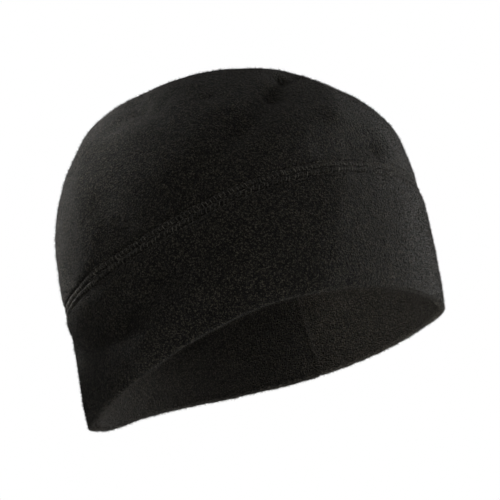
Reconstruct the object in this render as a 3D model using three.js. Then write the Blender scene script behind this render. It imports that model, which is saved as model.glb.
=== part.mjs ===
// Fleece beanie: a single-layer crown sewn to a deep band of double fleece.
// Millimetres, +Z up, the front of the hat faces -Y and the wearer's left is +X.
// The origin is where the top of a head meets the inside of the crown.

import * as THREE from "three";

// Cloth
const CROWN_WALL = 2.0;
const BAND_WALL = 3.0;
const FLEECE_COLOUR = 0x1d1b1a;
const FLEECE_ROUGHNESS = 0.95;

// Level sections of the outer surface, each a rounded oval, with heights counted from the
// front of the rim. The last row is the top, where the crown closes.
// The hat leans a little to the wearer's left.
const SECTIONS = [
  { height: -12, halfWidth: 85, halfLength: 93, shiftLeft: -3, shiftBack: 2 },
  { height: 26, halfWidth: 85, halfLength: 98, shiftLeft: 3.5, shiftBack: 1 },
  { height: 58, halfWidth: 84.8, halfLength: 98, shiftLeft: 5.5, shiftBack: 2.5 },
  { height: 86, halfWidth: 80.2, halfLength: 92.5, shiftLeft: 6.2, shiftBack: 5 },
  { height: 111, halfWidth: 63.5, halfLength: 76.5, shiftLeft: 3, shiftBack: 7.5 },
  { height: 128, halfWidth: 42, halfLength: 50.5, shiftLeft: -1, shiftBack: 10 },
  { height: 133, halfWidth: 0, halfLength: 0, shiftLeft: -1, shiftBack: 8 },
];
const OVAL_SQUARENESS = 2.1;

// Heights of the rim and of the crown seam at even angles, from the front round by the wearer's left
const RIM_HEIGHTS = [-0.5, 3.7, 2.8, -0.8, -3.2, -3.8, -1.6, -1.8, -0.8, 1.3, 3.4, 1.8, -4, -7.2, -10, -6.3];
const SEAM_HEIGHTS = [49, 54.7, 56.8, 56, 55, 54, 53, 52.5, 52, 51, 50, 48, 46, 44, 42.3, 44.6];

// The groove along the crown seam, which both pieces share
const SEAM_GAP = 0.3;
const SEAM_GROOVE_DEPTH = 1.0;
const SEAM_GROOVE_WIDTH = 3.0;

// Short darts that gather the crown's top, and the band's seam close to the centre back
const DART_ANGLES = [50, 130, 230, 310];
const DART_LENGTH = 66;
const DART_DEPTH = 1.0;
const BACK_SEAM_ANGLE = 185;
const BACK_SEAM_DEPTH = 0.8;
const UPRIGHT_GROOVE_WIDTH = 2.5;

// Soft folds: a dent, or with a negative depth a ridge, centred at an angle and height.
// turn is the rise of its line from level, towards the wearer's left.
const FOLDS = [
  { angle: -15, height: 25, turn: 11, length: 55, width: 9, depth: 1.8 },
  { angle: -19, height: 6, turn: 17, length: 34, width: 9, depth: -1.3 },
  { angle: 26, height: 76, turn: 20, length: 22, width: 8, depth: -1.1 },
  { angle: 43, height: 97, turn: 40, length: 22, width: 8, depth: 1.3 },
  { angle: -5, height: 117, turn: 0, length: 14, width: 6, depth: 1.0 },
  { angle: 62, height: 66, turn: 10, length: 14, width: 6, depth: 0.9 },
];

// How finely the cloth is divided
const EVEN_COLUMNS = 72;
const COLUMN_BESIDE_GROOVE = 1.6;
const CROWN_ROWS = 15;
const BAND_ROWS = 8;
const HEM_ROWS = 5;
const ANGLE_STEP = 0.5;
const PLACE_STEP = 0.01;

const TOP_PLACE = SECTIONS.length - 1;
const TOP = SECTIONS[TOP_PLACE];
const SEAT_HEIGHT = TOP.height - CROWN_WALL;
const { degToRad, euclideanModulo, lerp, smoothstep } = THREE.MathUtils;

// A smooth curve from one value to the next, shaped by the values before and after them
function curveBetween(before, from, to, after, t) {
  const linear = to - before;
  const square = 2 * before - 5 * from + 4 * to - after;
  const cubic = 3 * from - before - 3 * to + after;
  return 0.5 * (2 * from + linear * t + square * t * t + cubic * t * t * t);
}

// A height listed at even angles round the head, at any angle
function heightRound(heights, angle) {
  const place = euclideanModulo(angle, 360) * heights.length / 360;
  const index = Math.floor(place);
  const pick = (offset) => heights[(index + offset + heights.length) % heights.length];
  return curveBetween(pick(-1), pick(0), pick(1), pick(2), place - index);
}

// One measure of the section at a place, where place 1.5 is halfway from row 1 to row 2.
// Past the top the half sizes turn negative, which rounds the crown's top.
function measureAt(place, name) {
  const index = Math.min(Math.floor(place), TOP_PLACE - 1);
  const value = (row) => {
    if (row < 0) return 2 * SECTIONS[0][name] - SECTIONS[1][name];
    if (row <= TOP_PLACE) return SECTIONS[row][name];
    const sign = name.startsWith("half") ? -1 : 1;
    return sign * SECTIONS[2 * TOP_PLACE - row][name];
  };
  return curveBetween(value(index - 1), value(index), value(index + 1), value(index + 2), place - index);
}

// The place whose section lies at a height, found by halving
function placeOfHeight(height) {
  let low = 0;
  let high = TOP_PLACE;
  for (let turn = 0; turn < 30; turn += 1) {
    const middle = (low + high) / 2;
    if (measureAt(middle, "height") < height) low = middle;
    else high = middle;
  }
  return (low + high) / 2;
}

// The outer surface before grooves and folds
function plainPoint(angle, place) {
  const side = Math.sin(degToRad(angle));
  const ahead = Math.cos(degToRad(angle));
  const sidePart = Math.abs(side / measureAt(place, "halfWidth")) ** OVAL_SQUARENESS;
  const aheadPart = Math.abs(ahead / measureAt(place, "halfLength")) ** OVAL_SQUARENESS;
  const reach = (sidePart + aheadPart) ** (-1 / OVAL_SQUARENESS);
  return new THREE.Vector3(
    measureAt(place, "shiftLeft") + reach * side,
    measureAt(place, "shiftBack") - reach * ahead,
    measureAt(place, "height") - SEAT_HEIGHT,
  );
}

// Directions on the plain surface: level towards the wearer's left, outward, and up the cloth
function directionsAt(angle, place) {
  const inside = Math.min(place, TOP_PLACE - 2 * PLACE_STEP);
  const level = plainPoint(angle + ANGLE_STEP, inside).sub(plainPoint(angle - ANGLE_STEP, inside)).normalize();
  const rise = plainPoint(angle, inside + PLACE_STEP).sub(plainPoint(angle, inside - PLACE_STEP)).normalize();
  const outward = level.clone().cross(rise).normalize();
  return { level, outward, up: outward.clone().cross(level) };
}

// 1 in the middle, falling smoothly to nothing past its width
const bell = (distance, width) => Math.exp(-((distance / width) ** 2));

// Each fold's line in space, worked out once from its row in the table
const foldLines = FOLDS.map((fold) => {
  const place = placeOfHeight(fold.height);
  const { level, outward, up } = directionsAt(fold.angle, place);
  const turn = degToRad(fold.turn);
  const along = level.clone().multiplyScalar(Math.cos(turn)).addScaledVector(up, Math.sin(turn));
  return { ...fold, centre: plainPoint(fold.angle, place), along, outward, across: outward.clone().cross(along) };
});

// How far the folds draw the cloth in at a point
function foldDepth(point) {
  let depth = 0;
  for (const fold of foldLines) {
    const from = point.clone().sub(fold.centre);
    const reach = bell(from.dot(fold.along), fold.length) * bell(from.dot(fold.across), fold.width);
    depth += fold.depth * reach * bell(from.dot(fold.outward), fold.length);
  }
  return depth;
}

// How far the seam between the pieces draws the cloth in
function crownSeamDepth(angle, place) {
  const fromSeam = measureAt(place, "height") - heightRound(SEAM_HEIGHTS, angle);
  return SEAM_GROOVE_DEPTH * bell(fromSeam, SEAM_GROOVE_WIDTH);
}

// How far the darts draw the crown in, fading out where they end
function dartDepth(angle, point) {
  const fromTop = Math.hypot(point.x - TOP.shiftLeft, point.y - TOP.shiftBack);
  const fade = smoothstep(DART_LENGTH - fromTop, 0, DART_LENGTH / 2);
  let depth = 0;
  for (const dart of DART_ANGLES) {
    depth += DART_DEPTH * fade * bell(degToRad(angle - dart) * fromTop, UPRIGHT_GROOVE_WIDTH);
  }
  return depth;
}

// How far the back seam draws the band in
function backSeamDepth(angle) {
  const aside = degToRad(angle - BACK_SEAM_ANGLE) * SECTIONS[0].halfLength;
  return BACK_SEAM_DEPTH * bell(aside, UPRIGHT_GROOVE_WIDTH);
}

// A point of the finished cloth, under its outer face by a share of the wall
function clothPoint(piece, angle, place, under) {
  const point = plainPoint(angle, place);
  const own = piece === "crown" ? dartDepth(angle, point) : backSeamDepth(angle);
  const depth = foldDepth(point) + crownSeamDepth(angle, place) + own + under;
  return point.addScaledVector(directionsAt(angle, place).outward, -depth);
}

// Columns all round, with extra ones beside each groove that runs upward
function columnAngles() {
  const angles = [];
  for (let index = 0; index < EVEN_COLUMNS; index += 1) angles.push(index * 360 / EVEN_COLUMNS);
  for (const groove of [...DART_ANGLES, BACK_SEAM_ANGLE]) {
    angles.push(groove - COLUMN_BESIDE_GROOVE, groove + COLUMN_BESIDE_GROOVE);
  }
  return angles.sort((first, second) => first - second);
}

const COLUMNS = columnAngles();

// A ring of cloth points, with the place of each column given by a function of its angle
function ringAt(piece, placeOf, under) {
  return COLUMNS.map((angle) => clothPoint(piece, angle, placeOf(angle), under));
}

// Joins rings one after another, from the outer face down and round to the inner face.
// A ring of one point closes an end. With loops, the last ring meets the first.
function meshOfRings(name, rings, loops) {
  const positions = [];
  const starts = rings.map((ring) => {
    const start = positions.length / 3;
    for (const point of ring) positions.push(point.x, point.y, point.z);
    return start;
  });
  const corner = (row, column) => starts[row] + column % rings[row].length;
  const indices = [];
  const pairs = loops ? rings.length : rings.length - 1;
  for (let row = 0; row < pairs; row += 1) {
    const next = (row + 1) % rings.length;
    for (let column = 0; column < COLUMNS.length; column += 1) {
      if (rings[next].length > 1) {
        indices.push(corner(row, column), corner(next, column), corner(next, column + 1));
      }
      if (rings[row].length > 1) {
        indices.push(corner(row, column), corner(next, column + 1), corner(row, column + 1));
      }
    }
  }
  const geometry = new THREE.BufferGeometry();
  geometry.setAttribute("position", new THREE.Float32BufferAttribute(positions, 3));
  geometry.setIndex(indices);
  geometry.computeVertexNormals();
  const material = new THREE.MeshStandardMaterial({
    color: FLEECE_COLOUR,
    roughness: FLEECE_ROUGHNESS,
    metalness: 0,
  });
  const mesh = new THREE.Mesh(geometry, material);
  mesh.name = name;
  return mesh;
}

// One face of the crown, from its top point down to the seam
function crownFace(under) {
  const top = new THREE.Vector3(TOP.shiftLeft, TOP.shiftBack, TOP.height - SEAT_HEIGHT - under);
  const rings = [[top]];
  const seamPlace = (angle) => placeOfHeight(heightRound(SEAM_HEIGHTS, angle) + SEAM_GAP / 2);
  for (let row = 1; row <= CROWN_ROWS; row += 1) {
    rings.push(ringAt("crown", (angle) => lerp(TOP_PLACE, seamPlace(angle), row / CROWN_ROWS), under));
  }
  return rings;
}

// The crown: a dome of one layer, open below
function makeCrown() {
  return meshOfRings("crown", [...crownFace(0), ...crownFace(CROWN_WALL).reverse()], false);
}

// The band's height at a share of the way down from the seam to the middle of the hem's fold
function bandHeight(angle, share) {
  const high = heightRound(SEAM_HEIGHTS, angle) - SEAM_GAP / 2;
  const low = heightRound(RIM_HEIGHTS, angle) + BAND_WALL / 2;
  return lerp(high, low, share);
}

// One face of the band, from the seam down to the hem
function bandFace(under) {
  const rings = [];
  for (let row = 0; row <= BAND_ROWS; row += 1) {
    rings.push(ringAt("band", (angle) => placeOfHeight(bandHeight(angle, row / BAND_ROWS)), under));
  }
  return rings;
}

// The half round of the hem's fold, from the outer face to the inner one
function hemRings() {
  const rings = [];
  for (let row = 1; row < HEM_ROWS; row += 1) {
    const swing = Math.PI * row / HEM_ROWS;
    const under = BAND_WALL / 2 * (1 - Math.cos(swing));
    const ring = ringAt("band", (angle) => placeOfHeight(bandHeight(angle, 1)), under);
    for (const point of ring) point.z -= BAND_WALL / 2 * Math.sin(swing);
    rings.push(ring);
  }
  return rings;
}

// The band: two layers folded at the hem
function makeBand() {
  return meshOfRings("band", [...bandFace(0), ...hemRings(), ...bandFace(BAND_WALL).reverse()], true);
}

const beanie = new THREE.Group();
beanie.add(makeCrown(), makeBand());

export default beanie;
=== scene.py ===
# A dark fleece beanie: soft cloth, a flat seam with its stitches, a folded hem and a short nap.
import math

import bmesh
import bpy
import numpy as np
from mathutils import Matrix, Vector, noise
from mathutils.bvhtree import BVHTree


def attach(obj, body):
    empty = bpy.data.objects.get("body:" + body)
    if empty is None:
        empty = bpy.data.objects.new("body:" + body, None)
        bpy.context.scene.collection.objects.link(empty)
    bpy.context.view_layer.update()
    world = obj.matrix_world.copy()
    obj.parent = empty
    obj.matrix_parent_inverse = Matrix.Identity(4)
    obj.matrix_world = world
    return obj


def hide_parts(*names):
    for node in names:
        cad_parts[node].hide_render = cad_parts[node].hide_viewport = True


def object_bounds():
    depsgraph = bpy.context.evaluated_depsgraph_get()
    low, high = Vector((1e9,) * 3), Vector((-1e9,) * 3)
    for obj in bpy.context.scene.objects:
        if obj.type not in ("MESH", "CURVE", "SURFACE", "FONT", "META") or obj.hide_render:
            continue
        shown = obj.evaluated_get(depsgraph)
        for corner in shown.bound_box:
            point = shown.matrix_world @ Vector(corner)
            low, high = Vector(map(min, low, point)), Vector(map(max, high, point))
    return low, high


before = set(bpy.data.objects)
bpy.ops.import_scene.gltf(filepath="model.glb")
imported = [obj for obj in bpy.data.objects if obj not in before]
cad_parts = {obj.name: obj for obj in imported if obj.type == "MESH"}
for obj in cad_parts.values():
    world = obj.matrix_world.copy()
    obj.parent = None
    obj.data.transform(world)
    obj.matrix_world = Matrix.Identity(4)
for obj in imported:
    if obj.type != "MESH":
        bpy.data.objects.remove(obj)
solid_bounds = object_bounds()

# Lengths are in millimetres and angles in degrees, except where a comment says otherwise. Blender's metres
# come in only where a mesh, a pattern, a light or the camera is made.
MM = 0.001

# A length or a sum that something is divided by is at least this
TINY = 1e-9

# Camera: where the photograph was taken from, and how many pixels from its middle the rim's centre lies
FOCAL_PIXELS = 2198
IMAGE_SIDE = 500
SENSOR_WIDTH = 36.0
CAMERA_AZIMUTH = 17.6
CAMERA_ELEVATION = -10.5
CAMERA_ROLL = 18.1
CAMERA_DISTANCE = 1020
RIM_CENTRE = Vector((0, 0, -131))
RIM_CENTRE_RIGHT_OF_MIDDLE = 16.7
RIM_CENTRE_BELOW_MIDDLE = 105.9

# Studio, in metres
BACKDROP_RADIUS = 6.0
BACKDROP_COLUMNS = 48
BACKDROP_ROWS = 24
BACKDROP_BRIGHTNESS = 1.0
FLOOR_REACH = 4.0
FLOOR_LEVEL = -2.2
FLOOR_BRIGHTNESS = 0.84
FILL_LIGHT = 0.024
LIT_PLACE = Vector((0, 0, -0.07))
LIGHT_DISTANCE = 1.5

# Softboxes: name, direction to the right, up and towards the camera, width, height, power in watts
SOFTBOXES = (
    ("front_fill", -0.1, 0.3, 1.0, 0.4, 0.4, 5.2),
    ("front_high", 0.0, 0.8, 1.0, 0.6, 0.6, 5.9),
    ("left_top", -1.0, 1.4, -0.9, 0.7, 0.7, 8.0),
    ("right_side", 1.0, -0.15, 0.0, 1.3, 0.8, 16.0),
    ("right_rim", 1.0, 0.0, -0.7, 1.5, 1.0, 43.0),
    ("below", 0.3, -1.0, 0.0, 0.8, 0.8, 23.0),
    ("below_front", 0.2, -1.0, 0.8, 0.8, 0.8, 10.0),
)

# Narrow lights: name, direction as above, place aimed at in millimetres, cone in degrees, power in watts
SPOT_RADIUS = 0.02
SPOT_SOFTNESS = 0.8
SPOTS = (
    ("left_spot", -1.0, 0.25, -0.15, (-78, -28, -63), 4.0, 200.0),
    ("left_high", -1.0, 0.7, -0.8, (-52, -18, -16), 5.2, 200.0),
    ("crown_spot", -0.8, 0.8, 0.6, (-52, -50, -36), 5.0, 124.0),
    ("inside_spot", -1.0, -0.8, 0.3, (55, 75, -115), 6.0, 36.0),
    ("inside_low", -0.6, -1.0, 0.8, (20, 60, -115), 8.0, 68.0),
)

# Cloth
CROWN_WALL = 2.0
BAND_WALL = 3.0
SEAM_GAP = 0.05

# Darts and the back seam, by angle from the front towards the wearer's left. A dart fades in from the top
# and out at its end, over these lengths.
DART_ANGLES = (50, 130, 230, 310)
DART_LENGTH = 66
DART_FADE_IN = 8
DART_FADE_OUT = 30
DART_DEPTH = 0.9
DART_HALF_WIDTH = 0.9
BACK_SEAM_ANGLE = 185
BACK_SEAM_DEPTH = 0.6
BACK_SEAM_HALF_WIDTH = 1.0

# Puckers beside such a seam: distance from it, half width, height and unevenness as shares of its depth, size
PUCKER_PLACE = 3.2
PUCKER_HALF_WIDTH = 2.2
PUCKER_HEIGHT = 0.45
PUCKER_UNEVEN = 0.25
PUCKER_SIZE = 5

# Form of the cloth across the seam, whose rows of stitches lie three millimetres apart:
# distance below it, half width, height
SEAM_FORMS = (
    (-6.5, 2.6, 0.35),
    (-3.0, 0.65, -0.75),
    (-1.5, 0.8, 0.3),
    (0.0, 0.6, -0.3),
    (1.5, 0.8, 0.3),
    (3.0, 0.65, -0.75),
    (6.5, 2.6, 0.35),
)

# Folds and dimples: angle and distance below the seam at both ends, half width, height
FOLDS = (
    # Long hollow round the front of the band, between two low ridges
    (-48, 9, -34, 8, 6.0, 1.3),
    (-60, 12, -46, 25, 8.0, -1.7),
    (-46, 27, -20, 26, 8.0, -2.4),
    (-20, 26, -4, 19, 6.5, -2.6),
    (-4, 19, 12, 17, 6.0, -1.4),
    (-36, 49, -16, 43, 6.0, 1.0),
    (-16, 43, 4, 31, 6.0, 1.1),
    (7, 41, 14, 37, 3.0, -0.6),
    # Broad ridge down the band at the front left, and fuller or flatter places at both sides
    (36, 50, 51, 6, 12.0, 1.6),
    (-80, -11, -68, -6, 9.0, -1.2),
    (-80, 13, -68, 14, 6.0, 0.8),
    (94, -48, 104, -32, 13.0, 0.8),
    # Ridge and hollow down the front of the crown
    (-25, -64, -24, -8, 8.0, 2.2),
    (-14, -30, -10, -8, 8.0, -1.3),
    # Folds and dimples of the crown, most of them near its top
    (-9, -92, -4, -82, 6.0, -3.8),
    (-4, -82, 6, -70, 6.0, -2.7),
    (-12, -72, 2, -66, 7.0, -2.4),
    (7, -60, 8, -55, 3.5, -1.6),
    (22, -57, 24, -56, 2.2, -1.0),
    (14, -80, 20, -72, 6.0, 1.2),
    (-33, -73, -29, -70, 3.0, -1.1),
    (-40, -14, -36, -12, 5.0, -1.1),
    # Long fold that runs from the left of the crown down to the seam at the front
    (76, -70, 60, -63, 4.0, -1.8),
    (60, -63, 46, -47, 4.5, -2.8),
    (46, -47, 28, -28, 8.0, -2.8),
    (28, -28, 12, -10, 9.0, -2.0),
    # Swells and a hollow low on the left of the crown
    (72, -50, 60, -28, 8.0, 1.4),
    (50, -9, 72, -9, 5.5, -2.4),
    (60, -23, 80, -19, 6.0, 0.8),
    (82, -12, 88, -9, 4.0, 1.0),
)
INNER_FOLD_SHARE = 0.8

# The two halves of the band meet at a soft corner at the back: height, reach to each side, rounding
BACK_CORNER_HEIGHT = 1.0
BACK_CORNER_REACH = 26
BACK_CORNER_ROUNDING = 1.4

# Inside the band the nap is more even. Painted light: the inner face is painted lighter from the side front
# round to the back seam, where light falls in through the opening. Its lightness on the wearer's right and
# left, and how far the change spreads
INSIDE_PAINTED_LIGHT = (1.2, 1.9)
INSIDE_EVENNESS = 0.35
SEAM_SIDE_SPREAD = 1.2
FRONT_SIDE_ANGLE = 70
FRONT_SIDE_SPREAD = 25

# Soft unevenness of the cloth: size of the lumps, height, seed. Round the top of the crown it is calmed,
# within this distance and down to this share.
LUMPS = (
    (34, 0.5, 1),
    (15, 0.32, 2),
    (6, 0.18, 3),
    (2.4, 0.3, 4),
)
INNER_CROWN_LUMPS = (12, 0.3, 9)
INNER_BAND_SHIFT = 50
SEED_SHIFT = 31.7
TOP_CALM_REACH = 3
TOP_CALM_SHARE = 0.2

# Reading of the solids: degrees between rows and down to the last one, then counts of rows or columns
STEP_DOWN = 0.5
LOWEST_ANGLE = 136
SMOOTH_ROUND = 2.4
SMOOTH_ROWS = 4
SMOOTH_EDGE_COLUMNS = 10
OVER_TOP_ROWS = 40
HEM_ROWS_LEFT_OUT = 5
SLOPE_ROWS = 12
OUTSIDE = 400.0

# Grid of the shapes: rings are closer together beside the seam, and start this far from the top
COLUMNS = 640
CROWN_OUTER_ROWS = 128
CROWN_INNER_ROWS = 20
BAND_OUTER_ROWS = 74
BAND_INNER_ROWS = 36
HEM_ROWS = 9
EDGE_ROWS = 3
CROWN_FINE_REACH = 9
BAND_FINE_REACH = 11
FINE_STEP = 0.42
OUTER_START = 0.8
INNER_START = 1.5

# Stitches of the flat seam
STITCH_LENGTH = 2.1
STITCH_UNEVEN = 0.24
STITCH_SEED = 5
STITCH_ROWS = (-3.0, 0.0, 3.0)
HOLE_DEPTH = 0.55
HOLE_SIZE = 0.45

# Threads: stitches of the rows and crossing ones each have where they start and end as shares of
# the stitch length or of the way to the next row, points along them, and how high they lie
ROW_THREAD = (0.1, 0.9, 5)
ROW_LIFT = 0.08
CROSSING_THREAD = (0.06, 0.94, 6)
CROSSING_LIFT = 0.1
CROSSING_LEANS = (0.5, -0.5)
THREAD_RADIUS = 0.17
THREAD_END_SHARE = 0.55
THREAD_SIDES = 5
THREAD_LIGHTNESS = (0.4, 2.0)

# Nap: short fibres that stand out of the cloth, lighter and darker in small clumps
NAP_LENGTH = (0.7, 1.5)
NAP_RADIUS = 0.075
NAP_ROOT = 0.08
NAP_MOST_LEAN = 2.2
NAP_TILT = 0.3
NAP_LIGHTNESS = (0.3, 2.2)
NAP_CLUMP = 1.5
NAP_CLUMP_CHANGE = 2.3
CROWN_NAP = 46000
BAND_NAP = 44000
HEM_NAP = 13000
INSIDE_NAP = 28000

# A fibre has three feet and a tip
FIBRE_POINTS = 4
FIBRE_FACES = ((0, 1, 3), (1, 2, 3), (2, 0, 3), (0, 2, 1))

# Fleece: roughness, specular level and sheen, then its colours
FLEECE_SURFACE = (0.95, 0.15, 0.02)
FLEECE_SHEEN_ROUGHNESS = 0.4
FLEECE_SHEEN_TINT = (1.0, 0.95, 0.9)
FLEECE_DARK = (0.002, 0.0018, 0.0014)
FLEECE_LIGHT = (0.0285, 0.0257, 0.0188)
FLEECE_EVEN = (0.0145, 0.0124, 0.0102)

# Clumps of curled and tufted fibre, and the part of their pattern over which light turns to dark. The dark is
# partly the fibre's own tone and partly painted shade in the hollows between clumps
CURL_SIZE = 1.05
TUFT_SIZE = 0.6
TUFT_SHARE = 0.5
CLUMP_EDGES = (0.34, 0.58)
CLUMP_DEPTH = 2.2

# Fine specks, from noise that is turned off the axes, and broad clouds: the part of the noise over which
# they turn from the first lightness to the second
SPECK_SIZE = 0.6
SPECK_DETAIL = 1
SPECK_TURN = (0.6, 0.4, 0.3)
SPECK_EDGES = (0.35, 0.65)
SPECK_LIGHTNESS = (0.05, 1.95)
CLOUD_SIZE = 26
CLOUD_DETAIL = 2
CLOUD_EDGES = (0, 1)
CLOUD_LIGHTNESS = (0.8, 1.2)

# Thread: roughness, specular level and sheen, then its colour and twist
THREAD_SURFACE = (0.7, 0.3, 0.03)
THREAD_COLOUR = (0.036, 0.033, 0.027)
TWIST_SIZE = 0.35
TWIST_DETAIL = 2
TWIST_EDGES = (0.3, 0.7)
TWIST_LIGHTNESS = (0.6, 1.4)
TWIST_DEPTH = 0.1


def softened(values, spread, axis, around):
    """The values after a weighted running mean that is spread samples wide."""
    reach = int(3 * spread)
    steps = np.arange(-reach, reach + 1)
    weights = np.exp(-0.5 * (steps / spread) ** 2)
    weights /= weights.sum()
    margins = [(reach, reach) if a == axis else (0, 0) for a in range(values.ndim)]
    padded = np.pad(values, margins, mode="wrap" if around else "edge")
    return np.apply_along_axis(np.convolve, axis, padded, weights, mode="valid")


def bell(distance):
    """A smooth bump, 1 in its middle and near 0 past twice its half width."""
    return np.exp(-distance * distance)


def noise_at(points, size, seed):
    """Smooth noise from about -1 to 1 at each point, with lumps of about that size."""
    places = points.reshape(-1, 3) / size + seed * SEED_SHIFT
    return np.array([noise.noise(p) for p in places.tolist()]).reshape(points.shape[:-1])


# The hat's outer face, read from the solids

def read_solids():
    """The solids as one tree of faces, and the name of the solid that each face belongs to."""
    vertices = []
    faces = []
    owners = []
    for name in ("crown", "band"):
        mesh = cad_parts[name].data
        start = len(vertices)
        vertices += [vertex.co / MM for vertex in mesh.vertices]
        faces += [[start + index for index in face.vertices] for face in mesh.polygons]
        owners += [name] * len(mesh.polygons)
    return BVHTree.FromPolygons(vertices, faces), owners


angles_round = np.arange(COLUMNS) * 360 / COLUMNS
angles_down = np.arange(0, LOWEST_ANGLE + STEP_DOWN, STEP_DOWN)
middle = (solid_bounds[0] + solid_bounds[1]) / 2 / MM
down, round_ = np.meshgrid(np.radians(angles_down), np.radians(angles_round), indexing="ij")
directions = np.stack(
    (np.sin(down) * np.sin(round_), -np.sin(down) * np.cos(round_), np.cos(down)), axis=-1
)


def read_face():
    """Distance from the middle to the outer face in each direction, and where the seam and the rim lie."""
    tree, owners = read_solids()
    reach = np.full(down.shape, np.nan)
    is_band = np.zeros(down.shape, bool)
    for row, column in np.ndindex(down.shape):
        direction = Vector(directions[row, column])
        place, _, face, travelled = tree.ray_cast(middle + direction * OUTSIDE, -direction, OUTSIDE)
        if place is not None:
            reach[row, column] = OUTSIDE - travelled
            is_band[row, column] = owners[face] == "band"
    rows = np.arange(len(angles_down))[:, None]
    seam = np.where(is_band, rows, len(rows)).min(0) - 0.5
    rim = np.where(np.isnan(reach), -1, rows).max(0) + 0.5
    return reach, seam * STEP_DOWN, rim * STEP_DOWN


def without_hem(reach, rim):
    """The face carried on straight past the rim, so that its smoothing isn't drawn in by the hem."""
    carried = reach.copy()
    rows = np.arange(len(reach))
    for column in range(COLUMNS):
        found = ~np.isnan(reach[:, column])
        whole = np.interp(rows, rows[found], reach[found, column])
        last = int(rim[column] / STEP_DOWN) - HEM_ROWS_LEFT_OUT
        slope = (whole[last] - whole[last - SLOPE_ROWS]) / SLOPE_ROWS
        carried[:, column] = np.where(rows < last, whole, whole[last] + slope * (rows - last))
    return carried


def smooth_face(reach):
    """The face without the flat facets of the solids."""
    over_top = np.roll(reach[1:OVER_TOP_ROWS + 1][::-1], COLUMNS // 2, axis=1)
    whole = np.concatenate((over_top, reach))
    whole = softened(whole, SMOOTH_ROWS, axis=0, around=False)[OVER_TOP_ROWS:]
    whole = softened(whole, SMOOTH_ROUND / (360 / COLUMNS), axis=1, around=True)
    whole[0] = whole[0].mean()
    return whole


reach_found, seam_down, rim_down = read_face()
seam_down = softened(seam_down, SMOOTH_EDGE_COLUMNS, axis=0, around=True)
rim_down = softened(rim_down, SMOOTH_EDGE_COLUMNS, axis=0, around=True)
face_reach = smooth_face(without_hem(reach_found, rim_down))
face_points = np.array(middle) + directions * face_reach[..., None]
steps_down = np.linalg.norm(np.diff(face_points, axis=0), axis=-1)
lengths_down = np.concatenate((np.zeros((1, COLUMNS)), np.cumsum(steps_down, axis=0)))
columns = range(COLUMNS)
seam_length = np.array([np.interp(seam_down[c], angles_down, lengths_down[:, c]) for c in columns])
rim_length = np.array([np.interp(rim_down[c], angles_down, lengths_down[:, c]) for c in columns])


def on_face(lengths):
    """Points of the outer face at those lengths down from the top, a column for each angle round."""
    points = np.empty((*lengths.shape, 3))
    for column in columns:
        for axis in range(3):
            points[:, column, axis] = np.interp(
                lengths[:, column], lengths_down[:, column], face_points[:, column, axis]
            )
    return points


def outward(points):
    """The outward direction at each point of a grid whose rows run down and whose columns run round."""
    along = np.roll(points, -1, axis=1) - np.roll(points, 1, axis=1)
    below = np.gradient(points, axis=0)
    normals = np.cross(below, along)
    normals /= np.maximum(np.linalg.norm(normals, axis=-1, keepdims=True), TINY)
    facing = np.sum(normals * (points - np.array(middle)), axis=-1)
    return normals * np.sign(facing)[..., None]


seam_points = on_face(seam_length[None])[0]
seam_steps = np.linalg.norm(np.roll(seam_points, -1, axis=0) - seam_points, axis=-1)
along_seam = np.concatenate(([0], np.cumsum(seam_steps)))[:-1]
seam_round = seam_steps.sum()


# Relief of the cloth

def seam_relief(below_seam, along):
    """Height of the cloth across the seam, with a small hole at each stitch of its rows."""
    height = np.zeros(below_seam.shape)
    for centre, half_width, form_height in SEAM_FORMS:
        height += form_height * bell((below_seam - centre) / half_width)
    pitch = seam_round / round(seam_round / STITCH_LENGTH)
    from_hole = (along + pitch / 2) % pitch - pitch / 2
    for row in STITCH_ROWS:
        height -= HOLE_DEPTH * bell(from_hole / HOLE_SIZE) * bell((below_seam - row) / HOLE_SIZE)
    return height


def aside_from(points, angle):
    """Distance of each point round the hat from an angle, towards the wearer's left."""
    turn = np.radians((angles_round - angle + 180) % 360 - 180)
    return turn[None] * np.hypot(points[..., 0] - middle.x, points[..., 1] - middle.y)


def groove_relief(points, angle, half_width, depth):
    """Height of the cloth across a seam that runs up the hat at one angle, with puckers beside it."""
    aside = aside_from(points, angle)
    beside = bell((np.abs(aside) - PUCKER_PLACE) / PUCKER_HALF_WIDTH)
    puckers = PUCKER_HEIGHT + PUCKER_UNEVEN * noise_at(points, PUCKER_SIZE, angle)
    return depth * (puckers * beside - bell(aside / half_width))


def back_corner(points, lengths):
    """Height of the cloth at the corner that its halves make at the back, fading out up the crown."""
    rounded = np.hypot(aside_from(points, BACK_SEAM_ANGLE), BACK_CORNER_ROUNDING)
    fade = np.clip(2 * lengths / seam_length - 1, 0, 1)
    return BACK_CORNER_HEIGHT * fade * np.clip(1 - rounded / BACK_CORNER_REACH, 0, 1)


def dart_relief(points, lengths):
    """Height of the cloth at the darts of the crown."""
    fade = np.clip((DART_LENGTH - lengths) / DART_FADE_OUT, 0, 1) * np.clip(lengths / DART_FADE_IN, 0, 1)
    height = np.zeros(lengths.shape)
    for angle in DART_ANGLES:
        height += fade * groove_relief(points, angle, DART_HALF_WIDTH, DART_DEPTH)
    return height


def fold_relief(points, below_seam):
    """Height of the cloth at its folds and dimples, each a soft stroke between two places."""
    level = np.hypot(points[..., 0] - middle.x, points[..., 1] - middle.y)
    height = np.zeros(below_seam.shape)
    for angle_a, below_a, angle_b, below_b, half_width, fold_height in FOLDS:
        aside = aside_from(points, angle_a)
        under = below_seam - below_a
        run_aside = math.radians(angle_b - angle_a) * level
        run_under = below_b - below_a
        share = (aside * run_aside + under * run_under) / (run_aside ** 2 + run_under ** 2)
        share = np.clip(share, 0, 1)
        distance = np.hypot(aside - share * run_aside, under - share * run_under)
        height += fold_height * bell(distance / half_width)
    return height


def lumps(points):
    """The soft unevenness of fleece."""
    return sum(height * noise_at(points, size, seed) for size, height, seed in LUMPS)


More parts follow.
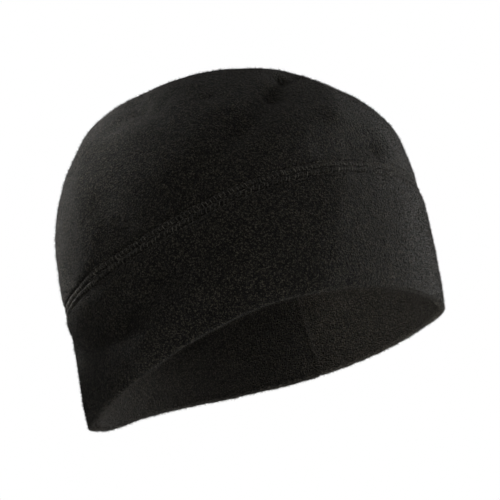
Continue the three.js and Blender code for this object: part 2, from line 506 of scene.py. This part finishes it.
def inside_painted_light(points):
    """Painted light on the inner nap at each point: lighter from the side front round to the back seam, where
    light falls in.
    """
    angle = np.degrees(np.arctan2(points[:, 0] - middle.x, middle.y - points[:, 1])) % 360
    before_seam = 1 / (1 + np.exp((angle - BACK_SEAM_ANGLE) / SEAM_SIDE_SPREAD))
    past_front = np.clip((angle - FRONT_SIDE_ANGLE) / FRONT_SIDE_SPREAD, 0, 1)
    right, left = INSIDE_PAINTED_LIGHT
    return right + (left - right) * before_seam * past_front


def new_piece(name, points, faces, lightness=1.0, evenness=0.0):
    """A smooth mesh piece from points in millimetres, with how light and even it looks at each point."""
    mesh = bpy.data.meshes.new(name)
    mesh.from_pydata((points * MM).tolist(), [], faces)
    mesh.polygons.foreach_set("use_smooth", [True] * len(mesh.polygons))
    for attribute, value in (("lightness", lightness), ("evenness", evenness)):
        values = mesh.attributes.new(attribute, "FLOAT", "POINT").data
        values.foreach_set("value", value + np.zeros(len(points)))
    mesh.update()
    piece = bpy.data.objects.new(name, mesh)
    bpy.context.scene.collection.objects.link(piece)
    return piece


def loft(name, rings, closed_round_wall, inner_rings=()):
    """A closed mesh through rings of points: round a wall and back to the first, or closed at both ends."""
    count = len(rings)
    quads = []
    last = count if closed_round_wall else count - 1
    index = np.arange(COLUMNS)
    following = (index + 1) % COLUMNS
    for row in range(last):
        a = row * COLUMNS
        b = ((row + 1) % count) * COLUMNS
        quads.append(np.stack((a + index, b + index, b + following, a + following), axis=-1))
    points = np.concatenate(rings)
    faces = np.concatenate(quads).tolist()
    if not closed_round_wall:
        start = len(points)
        points = np.concatenate((points, [rings[0].mean(0), rings[-1].mean(0)]))
        end_ring = (count - 1) * COLUMNS
        faces += [[start, int(i), int(j)] for i, j in zip(index, following)]
        faces += [[start + 1, int(end_ring + j), int(end_ring + i)] for i, j in zip(index, following)]
    lightness = np.ones(len(points))
    evenness = np.zeros(len(points))
    # Painted light: the inner rings are painted lighter where light falls in through the opening
    for row in inner_rings:
        ring = slice(row * COLUMNS, (row + 1) * COLUMNS)
        lightness[ring] = inside_painted_light(rings[row])
        evenness[ring] = INSIDE_EVENNESS
    return new_piece(name, points, faces, lightness, evenness)


def between(first, last, count):
    """A count of rings spread evenly between two rings of points."""
    share = np.linspace(0, 1, count + 2)[1:-1, None, None]
    return first * (1 - share) + last * share


def make_crown():
    """The crown: its outer face from the top to the seam, its sewn edge, and its inner face back up."""
    fine = np.arange(0, CROWN_FINE_REACH, FINE_STEP)
    coarse = np.linspace(0, 1, CROWN_OUTER_ROWS - len(fine))
    spare = seam_length - SEAM_GAP - CROWN_FINE_REACH
    upper = OUTER_START + coarse[:, None] * (spare - OUTER_START)
    lower = spare + CROWN_FINE_REACH - fine[::-1, None] + np.zeros(COLUMNS)
    lengths = np.concatenate((upper, lower))
    plain = on_face(lengths)
    facing = outward(plain)
    relief = lumps(plain) + dart_relief(plain, lengths)
    relief += fold_relief(plain, lengths - seam_length) + back_corner(plain, lengths)
    relief += seam_relief(lengths - seam_length, along_seam[None])
    relief *= np.clip(lengths / TOP_CALM_REACH, TOP_CALM_SHARE, 1)
    outer = plain + facing * relief[..., None]
    inner_spare = seam_length - SEAM_GAP - INNER_START
    inner_lengths = np.linspace(1, 0, CROWN_INNER_ROWS)[:, None] * inner_spare + INNER_START
    inner_plain = on_face(inner_lengths)
    lump_size, lump_height, lump_seed = INNER_CROWN_LUMPS
    inner_relief = lump_height * noise_at(inner_plain, lump_size, lump_seed)
    inner_relief -= back_corner(inner_plain, inner_lengths)
    inner_relief -= INNER_FOLD_SHARE * fold_relief(inner_plain, inner_lengths - seam_length)
    inner = inner_plain - outward(inner_plain) * (CROWN_WALL + inner_relief)[..., None]
    edge = between(outer[-1], inner[0], EDGE_ROWS)
    return loft("crown_cloth", [*outer, *edge, *inner], closed_round_wall=False), outer


def make_band():
    """The band: its outer face from the seam to the rim, the folded hem, and its inner face back up."""
    fine = np.arange(0, BAND_FINE_REACH, FINE_STEP)
    coarse = np.linspace(0, 1, BAND_OUTER_ROWS - len(fine))
    upper = seam_length + SEAM_GAP + fine[:, None] + np.zeros(COLUMNS)
    start = upper[-1] + FINE_STEP
    lower = start + coarse[:, None] * (rim_length - BAND_WALL / 2 - start)
    lengths = np.concatenate((upper, lower))
    plain = on_face(lengths)
    facing = outward(plain)
    relief = lumps(plain) + seam_relief(lengths - seam_length, along_seam[None])
    relief += fold_relief(plain, lengths - seam_length) + back_corner(plain, lengths)
    relief += groove_relief(plain, BACK_SEAM_ANGLE, BACK_SEAM_HALF_WIDTH, BACK_SEAM_DEPTH)
    outer = plain + facing * relief[..., None]
    inner_lengths = lengths[-1] - np.linspace(0, 1, BAND_INNER_ROWS)[:, None] * (lengths[-1] - lengths[0])
    inner_plain = on_face(inner_lengths)
    below = inner_lengths - seam_length
    inner_relief = lumps(inner_plain + INNER_BAND_SHIFT) - INNER_FOLD_SHARE * fold_relief(inner_plain, below)
    inner_relief -= back_corner(inner_plain, inner_lengths)
    inner_relief += groove_relief(inner_plain, BACK_SEAM_ANGLE, BACK_SEAM_HALF_WIDTH, BACK_SEAM_DEPTH)
    inner = inner_plain - outward(inner_plain) * (BAND_WALL + inner_relief)[..., None]
    down_way = outer[-1] - outer[-3]
    down_way /= np.linalg.norm(down_way, axis=-1, keepdims=True)
    centre = (outer[-1] + inner[0]) / 2
    side = outer[-1] - centre
    turn = np.radians(np.linspace(0, 180, HEM_ROWS + 2)[1:-1])
    radius = np.linalg.norm(side, axis=-1, keepdims=True)
    hem = [centre + side * math.cos(t) + down_way * radius * math.sin(t) for t in turn]
    edge = between(inner[-1], outer[0], EDGE_ROWS)
    rings = [*outer, *hem, *inner, *edge]
    inner_rings = range(len(outer) + len(hem) // 2, len(outer) + len(hem) + len(inner))
    piece = loft("band_cloth", rings, closed_round_wall=True, inner_rings=inner_rings)
    return piece, outer, np.array([outer[-1], *hem, inner[0]]), inner


# Stitches

def beside_seam(grid, along, below):
    """Values of a grid of the cloth beside the seam at distances along the seam and below it."""
    fine = SEAM_GAP + np.arange(0, CROWN_FINE_REACH, FINE_STEP)
    column = np.interp(along % seam_round, [*along_seam, seam_round], np.arange(COLUMNS + 1))
    row = np.interp(below, [*-fine[::-1], *fine], np.arange(2 * len(fine)))
    left = column.astype(int)
    above = row.astype(int)
    u = (column - left)[..., None]
    v = (row - above)[..., None]
    right = (left + 1) % COLUMNS
    left = left % COLUMNS
    top = grid[above, left] * (1 - u) + grid[above, right] * u
    bottom = grid[above + 1, left] * (1 - u) + grid[above + 1, right] * u
    return top * (1 - v) + bottom * v


def make_threads(name, grid, along, below, lift, lightness):
    """Stitches as short closed tubes, a row of places for each, with both ends sunk into the cloth."""
    count, steps = along.shape
    out = beside_seam(outward(grid), along, below)
    arch = np.sin(np.pi * np.linspace(0, 1, steps))[None, :, None]
    middles = beside_seam(grid, along, below) + out * (lift * arch - THREAD_RADIUS * (1 - arch))
    side = np.cross(np.gradient(middles, axis=1), out)
    side /= np.linalg.norm(side, axis=-1, keepdims=True)
    size = THREAD_RADIUS * (THREAD_END_SHARE + (1 - THREAD_END_SHARE) * np.minimum(1, 2 * arch))
    turns = np.arange(THREAD_SIDES) * 2 * np.pi / THREAD_SIDES
    rings = np.stack([middles + size * (math.cos(t) * side + math.sin(t) * out) for t in turns], axis=2)
    number = np.arange(count * steps * THREAD_SIDES).reshape(count, steps, THREAD_SIDES)
    following = np.roll(number, -1, axis=2)
    walls = np.stack((number[:, :-1], following[:, :-1], following[:, 1:], number[:, 1:]), axis=-1)
    faces = walls.reshape(-1, 4).tolist()
    faces += number[:, 0, ::-1].tolist()
    faces += number[:, -1].tolist()
    return new_piece(name, rings.reshape(-1, 3), faces, np.repeat(lightness, steps * THREAD_SIDES))


def make_seam_stitches(crown_grid, band_grid):
    """Three rows of stitches along the flat seam, and the threads that cross from row to row."""
    random = np.random.default_rng(STITCH_SEED)
    fine_rows = len(np.arange(0, CROWN_FINE_REACH, FINE_STEP))
    grid = np.concatenate((crown_grid[-fine_rows:], band_grid[:fine_rows]))
    count = round(seam_round / STITCH_LENGTH)
    pitch = seam_round / count
    starts = np.arange(count)[:, None] * pitch
    rows_along = []
    rows_below = []
    share = np.linspace(*ROW_THREAD)[None]
    for below in STITCH_ROWS:
        uneven = random.normal(scale=STITCH_UNEVEN, size=(count, 2, 1))
        rows_along.append(starts + pitch * share + uneven[:, 0])
        rows_below.append(below + uneven[:, 1] + 0 * share)
    crossing_along = []
    crossing_below = []
    share = np.linspace(*CROSSING_THREAD)[None]
    for above, below, lean in zip(STITCH_ROWS, STITCH_ROWS[1:], CROSSING_LEANS):
        uneven = random.normal(scale=STITCH_UNEVEN, size=(count, 2, 1))
        crossing_along.append(starts + pitch * (0.5 - lean + lean * share) + uneven[:, 0])
        crossing_below.append(above + (below - above) * share + uneven[:, 1])
    rows = (np.concatenate(rows_along), np.concatenate(rows_below))
    crossing = (np.concatenate(crossing_along), np.concatenate(crossing_below))
    row_shades = random.uniform(*THREAD_LIGHTNESS, size=len(rows[0]))
    crossing_shades = random.uniform(*THREAD_LIGHTNESS, size=len(crossing[0]))
    return (
        make_threads("seam_stitches", grid, *rows, ROW_LIFT, row_shades),
        make_threads("seam_cover_threads", grid, *crossing, CROSSING_LIFT, crossing_shades),
    )


# Nap

def make_nap(name, grid, count, seed, is_inside):
    """Short fibres over a grid of cloth, each a thin closed spike that leans its own way."""
    random = np.random.default_rng(seed)
    a = grid[:-1]
    b = grid[1:]
    a_next = np.roll(a, -1, axis=1)
    b_next = np.roll(b, -1, axis=1)
    across = np.cross(b_next - a, b - a_next)
    area = np.linalg.norm(across, axis=-1)
    chance = (area / area.sum()).ravel()
    cell = random.choice(chance.size, size=count, p=chance)
    u = random.random((count, 1))
    v = random.random((count, 1))
    corners = [corner.reshape(-1, 3)[cell] for corner in (a, a_next, b, b_next)]
    foot = (corners[0] * (1 - u) + corners[1] * u) * (1 - v) + (corners[2] * (1 - u) + corners[3] * u) * v
    out = -across.reshape(-1, 3)[cell]
    out /= np.maximum(np.linalg.norm(out, axis=-1, keepdims=True), TINY)
    lying = random.normal(size=(count, 3))
    lying -= out * np.sum(lying * out, axis=-1, keepdims=True)
    lying /= np.linalg.norm(lying, axis=-1, keepdims=True)
    way = out + lying * NAP_MOST_LEAN * random.random((count, 1))
    way /= np.linalg.norm(way, axis=-1, keepdims=True)
    length = random.uniform(*NAP_LENGTH, size=(count, 1))
    side = np.cross(way, lying + out * NAP_TILT)
    side /= np.linalg.norm(side, axis=-1, keepdims=True)
    other = np.cross(way, side)
    feet = [
        foot - out * NAP_ROOT + NAP_RADIUS * (math.cos(t) * side + math.sin(t) * other)
        for t in (0, 2 * math.pi / 3, 4 * math.pi / 3)
    ]
    points = np.stack((*feet, foot + way * length), axis=1).reshape(-1, 3)
    base = np.arange(count)[:, None] * FIBRE_POINTS
    faces = np.concatenate([base + np.array(face) for face in FIBRE_FACES])
    lightness = random.uniform(*NAP_LIGHTNESS, size=count)
    if is_inside:
        # Painted light: the inner nap is painted lighter where light falls in through the opening
        lightness = np.repeat(lightness * inside_painted_light(foot), FIBRE_POINTS)
        return new_piece(name, points, faces.tolist(), lightness, INSIDE_EVENNESS)
    lightness *= np.clip(1 + NAP_CLUMP_CHANGE * noise_at(foot, NAP_CLUMP, seed), 0, None)
    return new_piece(name, points, faces.tolist(), np.repeat(lightness, FIBRE_POINTS))


# Materials

def matt_material(name, roughness, specular, sheen):
    """A new material with a matt surface, its nodes and links, and its shader."""
    material = bpy.data.materials.new(name)
    material.use_nodes = True
    tree = material.node_tree
    shader = tree.nodes["Principled BSDF"]
    shader.inputs["Roughness"].default_value = roughness
    shader.inputs["Specular IOR Level"].default_value = specular
    shader.inputs["Sheen Weight"].default_value = sheen
    return material, tree, shader


def new_node(tree, kind, values, sources):
    """A new node, with the values of some of its inputs and the outputs that feed the others."""
    node = tree.nodes.new(kind)
    for socket, value in values.items():
        node.inputs[socket].default_value = value
    for socket, output in sources.items():
        tree.links.new(output, node.inputs[socket])
    return node


def clump_pattern(tree, place, size):
    """Distance from the middles of clumps of about that size."""
    node = new_node(tree, "ShaderNodeTexVoronoi", {"Scale": 1 / (size * MM)}, {"Vector": place})
    return node.outputs["Distance"]


def noise_pattern(tree, place, size, detail):
    """Smooth noise with lumps of about that size."""
    values = {"Scale": 1 / (size * MM), "Detail": detail}
    return new_node(tree, "ShaderNodeTexNoise", values, {"Vector": place}).outputs["Fac"]


def in_range(tree, value, edges, results):
    """The value brought from between its edges to between the results."""
    ends = {"From Min": edges[0], "From Max": edges[1], "To Min": results[0], "To Max": results[1]}
    return new_node(tree, "ShaderNodeMapRange", ends, {"Value": value}).outputs["Result"]


def colours_between(tree, value, edges, first, last):
    """A colour that runs from the first to the last as the value goes from edge to edge."""
    node = new_node(tree, "ShaderNodeValToRGB", {}, {"Fac": value})
    for stop, position, colour in zip(node.color_ramp.elements, edges, (first, last)):
        stop.position = position
        stop.color = (*colour, 1)
    return node.outputs["Color"]


def multiplied(tree, first, second):
    """The product of two colours, or of a colour and a value."""
    node = new_node(tree, "ShaderNodeVectorMath", {}, {0: first, 1: second})
    node.operation = "MULTIPLY"
    return node.outputs["Vector"]


def mesh_value(tree, attribute):
    """The value that the mesh has at each point for an attribute."""
    node = tree.nodes.new("ShaderNodeAttribute")
    node.attribute_name = attribute
    return node.outputs["Fac"]


def add_relief(tree, shader, pattern, depth, is_inverted):
    """Makes the surface look uneven after a pattern."""
    node = new_node(tree, "ShaderNodeBump", {"Strength": 1.0, "Distance": depth * MM}, {"Height": pattern})
    node.invert = is_inverted
    tree.links.new(node.outputs["Normal"], shader.inputs["Normal"])


def fleece(name):
    """Short-napped fleece: small clumps of fibre, lighter where they stand out and darker in painted shade in
    the hollows between them, with a soft sheen.
    """
    material, tree, shader = matt_material(name, *FLEECE_SURFACE)
    shader.inputs["Sheen Roughness"].default_value = FLEECE_SHEEN_ROUGHNESS
    shader.inputs["Sheen Tint"].default_value = (*FLEECE_SHEEN_TINT, 1)
    place = tree.nodes.new("ShaderNodeTexCoord").outputs["Object"]
    curls = clump_pattern(tree, place, CURL_SIZE)
    tufts = clump_pattern(tree, place, TUFT_SIZE)
    mixed = new_node(tree, "ShaderNodeMix", {"Factor": TUFT_SHARE}, {"A": curls, "B": tufts})
    clumps = mixed.outputs["Result"]
    turned = new_node(tree, "ShaderNodeMapping", {"Rotation": SPECK_TURN}, {"Vector": place})
    specks = noise_pattern(tree, turned.outputs["Vector"], SPECK_SIZE, SPECK_DETAIL)
    clouds = noise_pattern(tree, place, CLOUD_SIZE, CLOUD_DETAIL)
    # Painted shade: the colour darkens from the middles of the clumps into the hollows between them
    colour = colours_between(tree, clumps, CLUMP_EDGES, FLEECE_LIGHT, FLEECE_DARK)
    colour = multiplied(tree, colour, in_range(tree, clouds, CLOUD_EDGES, CLOUD_LIGHTNESS))
    colour = multiplied(tree, colour, in_range(tree, specks, SPECK_EDGES, SPECK_LIGHTNESS))
    sources = {"Fac": mesh_value(tree, "evenness"), "Color1": colour}
    evened = new_node(tree, "ShaderNodeMixRGB", {"Color2": (*FLEECE_EVEN, 1)}, sources)
    colour = multiplied(tree, evened.outputs["Color"], mesh_value(tree, "lightness"))
    tree.links.new(colour, shader.inputs["Base Color"])
    add_relief(tree, shader, clumps, CLUMP_DEPTH, is_inverted=True)
    return material


def thread(name):
    """Matt spun thread, with a fine twist along it."""
    material, tree, shader = matt_material(name, *THREAD_SURFACE)
    place = tree.nodes.new("ShaderNodeTexCoord").outputs["Object"]
    twist = noise_pattern(tree, place, TWIST_SIZE, TWIST_DETAIL)
    dark, light = ([share * value for value in THREAD_COLOUR] for share in TWIST_LIGHTNESS)
    colour = colours_between(tree, twist, TWIST_EDGES, dark, light)
    colour = multiplied(tree, colour, mesh_value(tree, "lightness"))
    tree.links.new(colour, shader.inputs["Base Color"])
    add_relief(tree, shader, twist, TWIST_DEPTH, is_inverted=False)
    return material


# Camera and studio

def add_camera():
    """The camera at the photograph's place, rolled as in it, with the rim's centre where it lies there."""
    azimuth = math.radians(CAMERA_AZIMUTH)
    elevation = math.radians(CAMERA_ELEVATION)
    roll = math.radians(CAMERA_ROLL)
    back = Vector((
        math.sin(azimuth) * math.cos(elevation),
        -math.cos(azimuth) * math.cos(elevation),
        math.sin(elevation),
    ))
    level_right = Vector((math.cos(azimuth), math.sin(azimuth), 0))
    level_up = back.cross(level_right)
    right = level_right * math.cos(roll) - level_up * math.sin(roll)
    up = level_right * math.sin(roll) + level_up * math.cos(roll)
    aim = -back * FOCAL_PIXELS - right * RIM_CENTRE_RIGHT_OF_MIDDLE + up * RIM_CENTRE_BELOW_MIDDLE
    away = -aim.normalized()
    side = up.cross(away).normalized()
    turned = Matrix((side, away.cross(side), away)).transposed()
    data = bpy.data.cameras.new("camera")
    data.sensor_width = SENSOR_WIDTH
    data.lens = SENSOR_WIDTH * FOCAL_PIXELS / IMAGE_SIDE
    camera = bpy.data.objects.new("camera", data)
    camera.matrix_world = Matrix.Translation((RIM_CENTRE + back * CAMERA_DISTANCE) * MM) @ turned.to_4x4()
    bpy.context.scene.collection.objects.link(camera)
    bpy.context.scene.camera = camera


def add_studio_piece(mesh, brightness):
    """Adds a plain, evenly bright piece of the studio, which only the camera sees, so it lights nothing."""
    glow = bpy.data.materials.new(mesh.name)
    glow.use_nodes = True
    shader = glow.node_tree.nodes["Principled BSDF"]
    shader.inputs["Base Color"].default_value = (0, 0, 0, 1)
    shader.inputs["Specular IOR Level"].default_value = 0
    shader.inputs["Emission Color"].default_value = (1, 1, 1, 1)
    shader.inputs["Emission Strength"].default_value = brightness
    mesh.materials.append(glow)
    piece = bpy.data.objects.new(mesh.name, mesh)
    piece.visible_diffuse = False
    piece.visible_glossy = False
    piece.visible_transmission = False
    piece.visible_shadow = False
    bpy.context.scene.collection.objects.link(piece)


def add_floor():
    """A pale floor well below the hat."""
    size = FLOOR_REACH
    level = FLOOR_LEVEL
    mesh = bpy.data.meshes.new("floor")
    corners = [(-size, -size, level), (size, -size, level), (size, size, level), (-size, size, level)]
    mesh.from_pydata(corners, [], [(0, 1, 2, 3)])
    add_studio_piece(mesh, FLOOR_BRIGHTNESS)


def add_backdrop():
    """A white shell all round."""
    shape = bmesh.new()
    bmesh.ops.create_uvsphere(
        shape, u_segments=BACKDROP_COLUMNS, v_segments=BACKDROP_ROWS, radius=BACKDROP_RADIUS
    )
    mesh = bpy.data.meshes.new("backdrop")
    shape.to_mesh(mesh)
    shape.free()
    add_studio_piece(mesh, BACKDROP_BRIGHTNESS)


def add_softbox(name, right, up, near, width, height, power):
    """A broad soft light that lights the whole hat."""
    data = bpy.data.lights.new(name, "AREA")
    data.shape = "RECTANGLE"
    data.size = width
    data.size_y = height
    data.energy = power
    place_light(data, right, up, near, LIT_PLACE)


def add_spot(name, right, up, near, aim, cone, power):
    """A narrow light that lights one part of the hat."""
    data = bpy.data.lights.new(name, "SPOT")
    data.spot_size = math.radians(cone)
    data.spot_blend = SPOT_SOFTNESS
    data.shadow_soft_size = SPOT_RADIUS
    data.energy = power
    place_light(data, right, up, near, Vector(aim) * MM)


def place_light(data, right, up, near, aim):
    """Puts a light in its direction from the place it lights, turned towards that place."""
    light = bpy.data.objects.new(data.name, data)
    view = bpy.context.scene.camera.matrix_world.to_3x3()
    way = (view @ Vector((right, up, near))).normalized()
    turn = way.to_track_quat("Z", "Y").to_matrix().to_4x4()
    light.matrix_world = Matrix.Translation(aim + way * LIGHT_DISTANCE) @ turn
    bpy.context.scene.collection.objects.link(light)


# The scene

add_camera()
add_floor()
add_backdrop()
world = bpy.data.worlds.new("studio")
world.use_nodes = True
world.node_tree.nodes["Background"].inputs["Color"].default_value = (1, 1, 1, 1)
world.node_tree.nodes["Background"].inputs["Strength"].default_value = FILL_LIGHT
bpy.context.scene.world = world
bpy.context.scene.view_settings.view_transform = "Standard"
for softbox in SOFTBOXES:
    add_softbox(*softbox)
for spot in SPOTS:
    add_spot(*spot)

fleece_material = fleece("fleece")
thread_material = thread("thread")
crown, crown_outer = make_crown()
band, band_outer, band_hem, band_inner = make_band()
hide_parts("crown")
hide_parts("band")
seam_stitches, seam_cover = make_seam_stitches(crown_outer, band_outer)
naps = (
    make_nap("crown_nap", crown_outer, CROWN_NAP, seed=1, is_inside=False),
    make_nap("band_nap", band_outer, BAND_NAP, seed=2, is_inside=False),
    make_nap("hem_nap", band_hem, HEM_NAP, seed=3, is_inside=True),
    make_nap("inside_nap", band_inner, INSIDE_NAP, seed=4, is_inside=True),
)
for piece in (crown, band, *naps):
    piece.data.materials.append(fleece_material)
    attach(piece, "root")
for piece in (seam_stitches, seam_cover):
    piece.data.materials.append(thread_material)
    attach(piece, "root")
